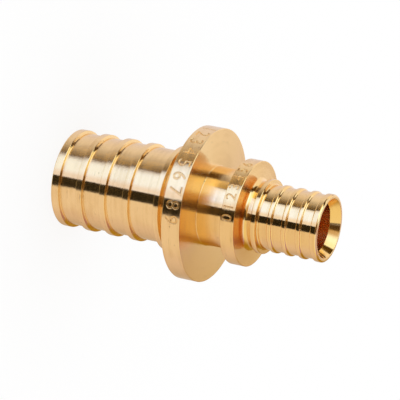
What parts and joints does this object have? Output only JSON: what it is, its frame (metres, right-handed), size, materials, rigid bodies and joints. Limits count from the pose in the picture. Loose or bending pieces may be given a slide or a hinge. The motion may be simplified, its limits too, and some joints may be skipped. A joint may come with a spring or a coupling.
{
  "type": "pex reducing coupling",
  "caption": "Turned brass coupling that joins a larger plastic pipe to a smaller one, with a barbed spigot and a flange for each and a stepped water way.",
  "frame": {"origin": "centre of the large spigot's end face", "axes": "+Z along the axis of the fitting, from the large spigot to the small one"},
  "size_m": [0.0318, 0.0318, 0.058],
  "materials": {
    "brass": "bright turned brass with fine tool lines"
  },
  "bodies": {
    "root": {"coupling_body": "brass"}
  },
  "joints": []
}
